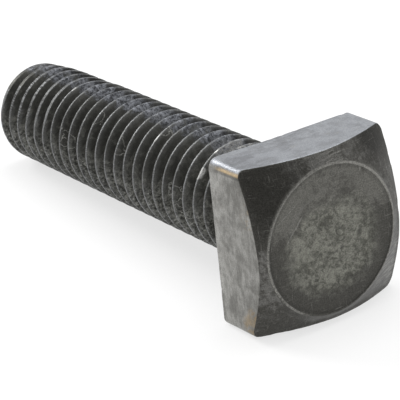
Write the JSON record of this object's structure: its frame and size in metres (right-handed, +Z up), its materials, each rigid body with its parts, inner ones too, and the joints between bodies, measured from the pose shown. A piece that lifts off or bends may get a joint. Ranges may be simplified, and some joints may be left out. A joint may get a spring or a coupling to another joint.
{
  "type": "square head bolt",
  "caption": "Forged square head bolt with a chamfered crown and a rolled inch thread along its shank, in dark steel.",
  "frame": {"origin": "centre of the bearing face under the head, on the bolt's axis", "axes": "+Z up as the bolt lies at rest; the head is towards +X and the threaded point towards -X, with the axis dipping 3.7 degrees to the point; +Y across two flats of the head"},
  "size_m": [0.0592, 0.0184, 0.0188],
  "materials": {
    "dark_steel": "dark satin oxide over forged and rolled steel, rubbed to lighter grey on the flats and the thread crests"
  },
  "bodies": {
    "root": {"bolt": "dark_steel"}
  },
  "joints": []
}
